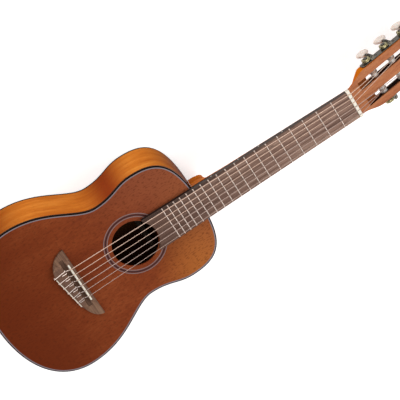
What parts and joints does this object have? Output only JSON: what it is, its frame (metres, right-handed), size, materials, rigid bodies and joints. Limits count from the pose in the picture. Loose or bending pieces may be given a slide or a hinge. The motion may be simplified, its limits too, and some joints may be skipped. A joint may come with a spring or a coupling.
{
  "type": "guitalele",
  "caption": "Small six-string guitar with nylon strings: hollow waisted body, bridge with tie block, fretted neck and a slotted head with worm-geared tuning machines.",
  "frame": {"origin": "on the outside of the flat back, on the centre line, under the middle of the saddle", "axes": "+Y from the tail to the head, +Z out of the soundboard, +X towards the treble strings"},
  "size_m": [0.231, 0.6945, 0.0883],
  "materials": {
    "satin_mahogany": "thin satin lacquer over open-pored mahogany",
    "gloss_mahogany": "gloss lacquer over orange-brown mahogany",
    "neck_mahogany": "gloss lacquer over mahogany",
    "head_overlay": "satin lacquer over a thin hardwood sheet",
    "rosewood": "open-grained rosewood, oiled",
    "bare_spruce": "planed and left bare",
    "bare_mahogany": "planed and left bare",
    "black_binding": "buffed black binding",
    "rosette_inlay": "rings of pale and purple-brown inlay",
    "white_trim": "cream strip, scraped flush",
    "bone": "polished cream bone substitute",
    "nylon": "clear nylon monofilament",
    "wound_nylon": "nylon floss under fine silvered wire",
    "nickel": "worn nickel plate",
    "brass": "cut brass, slightly tarnished",
    "roller_plastic": "white moulded nylon",
    "pearloid": "pearly moulded plastic"
  },
  "bodies": {
    "root": {"soundboard": "satin_mahogany", "rosette": "rosette_inlay", "back_plate": "gloss_mahogany", "side_bass": "gloss_mahogany", "side_treble": "gloss_mahogany", "top_binding": "black_binding", "back_binding": "black_binding", "top_lining_bass": "bare_spruce", "top_lining_treble": "bare_spruce", "back_lining_bass": "bare_spruce", "back_lining_treble": "bare_spruce", "neck_block": "bare_mahogany", "tail_block": "bare_mahogany", "upper_transverse_brace": "bare_spruce", "lower_transverse_brace": "bare_spruce", "upper_back_brace": "bare_spruce", "lower_back_brace": "bare_spruce", "bridge_patch": "bare_spruce", "fan_brace_bass": "bare_spruce", "fan_brace_centre": "bare_spruce", "fan_brace_treble": "bare_spruce", "fretboard": "rosewood", "nut": "bone", "saddle": "bone", "bridge": "rosewood", "tie_block_trim": "white_trim", "neck": "neck_mahogany", "head_veneer": "head_overlay", "sixth_string": "wound_nylon", "fifth_string": "wound_nylon", "fourth_string": "wound_nylon", "third_string": "nylon", "second_string": "nylon", "first_string": "nylon", "tuner_plate_bass": "nickel", "tuner_plate_treble": "nickel"},
    "key_bass_1": {"worm_bass_1": "nickel", "button_bass_1": "pearloid"},
    "winder_bass_1": {"roller_bass_1": "roller_plastic", "gear_bass_1": "brass"},
    "key_bass_2": {"worm_bass_2": "nickel", "button_bass_2": "pearloid"},
    "winder_bass_2": {"roller_bass_2": "roller_plastic", "gear_bass_2": "brass"},
    "key_bass_3": {"worm_bass_3": "nickel", "button_bass_3": "pearloid"},
    "winder_bass_3": {"roller_bass_3": "roller_plastic", "gear_bass_3": "brass"},
    "key_treble_1": {"worm_treble_1": "nickel", "button_treble_1": "pearloid"},
    "winder_treble_1": {"roller_treble_1": "roller_plastic", "gear_treble_1": "brass"},
    "key_treble_2": {"worm_treble_2": "nickel", "button_treble_2": "pearloid"},
    "winder_treble_2": {"roller_treble_2": "roller_plastic", "gear_treble_2": "brass"},
    "key_treble_3": {"worm_treble_3": "nickel", "button_treble_3": "pearloid"},
    "winder_treble_3": {"roller_treble_3": "roller_plastic", "gear_treble_3": "brass"}
  },
  "joints": [
    {"name": "key_bass_1_turn", "type": "hinge", "parent": "root", "child": "key_bass_1", "pos_m": [-0.0342, 0.48787, 0.05739], "axis": [0, 0.2588, 0.9659], "continuous": true},
    {"name": "winder_bass_1_turn", "type": "hinge", "parent": "root", "child": "winder_bass_1", "pos_m": [0, 0.48014, 0.05946], "axis": [1, 0, 0], "continuous": true},
    {"name": "key_bass_2_turn", "type": "hinge", "parent": "root", "child": "key_bass_2", "pos_m": [-0.0342, 0.51829, 0.04924], "axis": [0, 0.2588, 0.9659], "continuous": true},
    {"name": "winder_bass_2_turn", "type": "hinge", "parent": "root", "child": "winder_bass_2", "pos_m": [0, 0.51056, 0.05131], "axis": [1, 0, 0], "continuous": true},
    {"name": "key_bass_3_turn", "type": "hinge", "parent": "root", "child": "key_bass_3", "pos_m": [-0.0342, 0.54872, 0.04109], "axis": [0, 0.2588, 0.9659], "continuous": true},
    {"name": "winder_bass_3_turn", "type": "hinge", "parent": "root", "child": "winder_bass_3", "pos_m": [0, 0.54099, 0.04316], "axis": [1, 0, 0], "continuous": true},
    {"name": "key_treble_1_turn", "type": "hinge", "parent": "root", "child": "key_treble_1", "pos_m": [0.0342, 0.48787, 0.05739], "axis": [0, 0.2588, 0.9659], "continuous": true},
    {"name": "winder_treble_1_turn", "type": "hinge", "parent": "root", "child": "winder_treble_1", "pos_m": [0, 0.48014, 0.05946], "axis": [1, 0, 0], "continuous": true},
    {"name": "key_treble_2_turn", "type": "hinge", "parent": "root", "child": "key_treble_2", "pos_m": [0.0342, 0.51829, 0.04924], "axis": [0, 0.2588, 0.9659], "continuous": true},
    {"name": "winder_treble_2_turn", "type": "hinge", "parent": "root", "child": "winder_treble_2", "pos_m": [0, 0.51056, 0.05131], "axis": [1, 0, 0], "continuous": true},
    {"name": "key_treble_3_turn", "type": "hinge", "parent": "root", "child": "key_treble_3", "pos_m": [0.0342, 0.54872, 0.04109], "axis": [0, 0.2588, 0.9659], "continuous": true},
    {"name": "winder_treble_3_turn", "type": "hinge", "parent": "root", "child": "winder_treble_3", "pos_m": [0, 0.54099, 0.04316], "axis": [1, 0, 0], "continuous": true}
  ],
  "couplings": [
    {"joint": "winder_bass_1_turn", "follows": "key_bass_1_turn", "ratio": -0.071429},
    {"joint": "winder_bass_2_turn", "follows": "key_bass_2_turn", "ratio": -0.071429},
    {"joint": "winder_bass_3_turn", "follows": "key_bass_3_turn", "ratio": -0.071429},
    {"joint": "winder_treble_1_turn", "follows": "key_treble_1_turn", "ratio": -0.071429},
    {"joint": "winder_treble_2_turn", "follows": "key_treble_2_turn", "ratio": -0.071429},
    {"joint": "winder_treble_3_turn", "follows": "key_treble_3_turn", "ratio": -0.071429}
  ]
}
